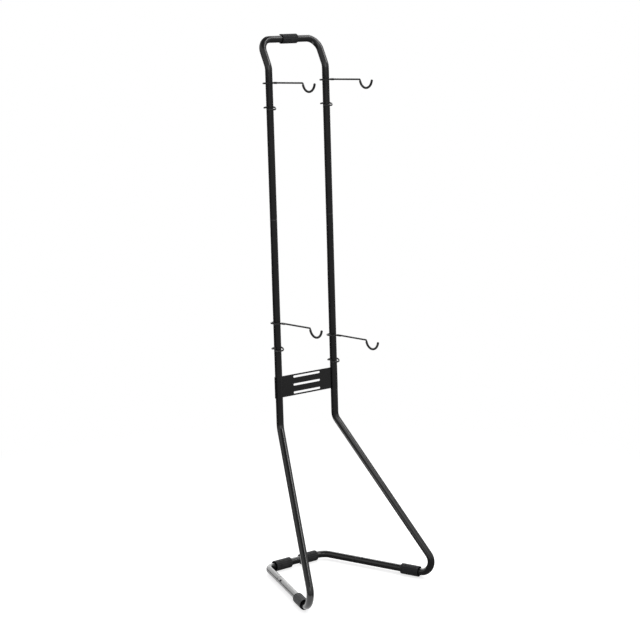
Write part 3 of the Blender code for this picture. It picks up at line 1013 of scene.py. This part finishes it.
studio = {
    "world": 0.35,  # what lights the object
    "dim": 0.15,  # what gloss shows of the room near the horizon and overhead
    "pale": 0.85,  # and between the two
    "dawn": (0.0, 0.14),  # heights between which dim turns pale, on a sphere of radius 1
    "dusk": (0.72, 0.82),  # and pale turns dim
    "floorSize": 400,
    "floor": (0.72, 0.72, 0.72),
    "floorDull": 0.9,
    "floorLift": 0.68,  # the floor's own light near the stand, as the camera sees it
    "floorShine": 1.4,  # and as gloss does
    "shineEdge": (-0.20, -0.06),  # across the stand, full at the left of the first and none past the second
    "shineReach": (0.8, 1.3),  # from the middle of the floor, full inside the first and none past the second
    "frontFloor": 0.32,  # what gloss shows of the rest of the floor, in front of the stand
    "backFloor": 0.10,  # and behind it
    "floorTurn": (-1.0, 0.5),  # depths between which the one fades into the other
    "plainReach": (0.7, 2.2),  # from the middle of the floor, where its shadows fade into plain white
}

# Place, what it points at, width, height and watts
lamps = {
    "behind": ((1.5, 3.8, 2.1), (0, 0, 1.2), 5.0, 3.6, 135),
    "right": ((3.9, -4.6, 6.6), (0, 0, 1.0), 4.0, 1.3, 115),
    "above": ((2.1, 1.3, 3.9), (0, 0.2, 1.4), 2.6, 1.8, 38),
    "front": ((-1.6, -3.4, 3.0), (0, 0, 1.0), 2.4, 2.0, 23),
}


def higher(look, first, second):
    return look.node("ShaderNodeMath", {"operation": "MAXIMUM"}, {0: first, 1: second})


def lightPath(look):
    # 1 for the camera and for glass, and 1 for gloss
    paths = look.node("ShaderNodeLightPath", {}, {}, "Is Camera Ray")
    outputs = paths.socket.node.outputs
    glass, gloss = [Signal(look, outputs[name]) for name in ("Is Transmission Ray", "Is Glossy Ray")]
    return higher(look, paths, glass), gloss


def makeWorld():
    world = bpy.data.worlds.new("studio")
    bpy.context.scene.world = world
    look = Look(world)
    background = look.tree.nodes["Background"]
    camera, gloss = lightPath(look)
    high = look.axes(look.node("ShaderNodeTexCoord", {}, {}, "Generated"))[2]
    # Gloss shows a dim room near the horizon, pale above it and dim again overhead
    pale = look.band(high, *studio["dawn"]) * (1 - look.band(high, *studio["dusk"]))
    shown = studio["dim"] + (studio["pale"] - studio["dim"]) * pale
    plain = studio["world"] * (1 - higher(look, camera, gloss))
    look.feed(background, "Color", look.mix(plain + camera + gloss * shown, (0, 0, 0), (1, 1, 1)))


def makeFloor():
    shape = bmesh.new()
    bmesh.ops.create_grid(shape, x_segments=1, y_segments=1, size=studio["floorSize"] / 2)
    mesh = meshed("floor", shape)
    floor = linked("floor", mesh)
    look = Look(bpy.data.materials.new("floorPaper"))
    shader = look.tree.nodes["Principled BSDF"]
    shader.inputs["Base Color"].default_value = (*studio["floor"], 1)
    shader.inputs["Roughness"].default_value = studio["floorDull"]
    shader.inputs["Specular IOR Level"].default_value = 0
    shader.inputs["Emission Color"].default_value = (1, 1, 1, 1)
    camera, gloss = lightPath(look)
    look.feed(shader, "Emission Strength", studio["floorLift"] * camera + studio["floorShine"] * gloss)
    # Near the stand the paper keeps its shadows, and further out it is plain white. What gloss shows of it is
    # dim, apart from a patch at the left of the stand.
    place = look.place()
    distance = look.node("ShaderNodeVectorMath", {"operation": "LENGTH"}, {0: place}, "Value")
    across, deep, _ = look.axes(place)
    dull = higher(look, look.band(across, *studio["shineEdge"]), look.band(distance, *studio["shineReach"]))
    behind = look.band(deep, *studio["floorTurn"])
    dim = studio["frontFloor"] - (studio["frontFloor"] - studio["backFloor"]) * behind
    shown = look.mix(camera + gloss * dim, (0, 0, 0), (1, 1, 1))
    glow = look.node("ShaderNodeEmission", {}, {"Color": shown})
    far = look.band(distance, *studio["plainReach"]) * camera
    far = higher(look, far, dull * gloss)
    paper = look.node("ShaderNodeMixShader", {}, {0: far, 1: Signal(look, shader.outputs[0]), 2: glow})
    look.feed(look.tree.nodes["Material Output"], "Surface", paper)
    mesh.materials.append(look.block)


def makeLamps():
    for name, (place, aim, width, height, watts) in lamps.items():
        data = bpy.data.lights.new(name, "AREA")
        data.shape = "RECTANGLE"
        data.size = width
        data.size_y = height
        data.energy = watts
        lamp = linked(name, data)
        lamp.location = place
        lamp.rotation_euler = (Vector(aim) - Vector(place)).to_track_quat("-Z", "Y").to_euler()
        lamp.visible_camera = False


def makeStudio():
    makeWorld()
    makeFloor()
    makeLamps()
    bpy.context.scene.view_settings.view_transform = "Standard"


makeStudio()
print("studio made")
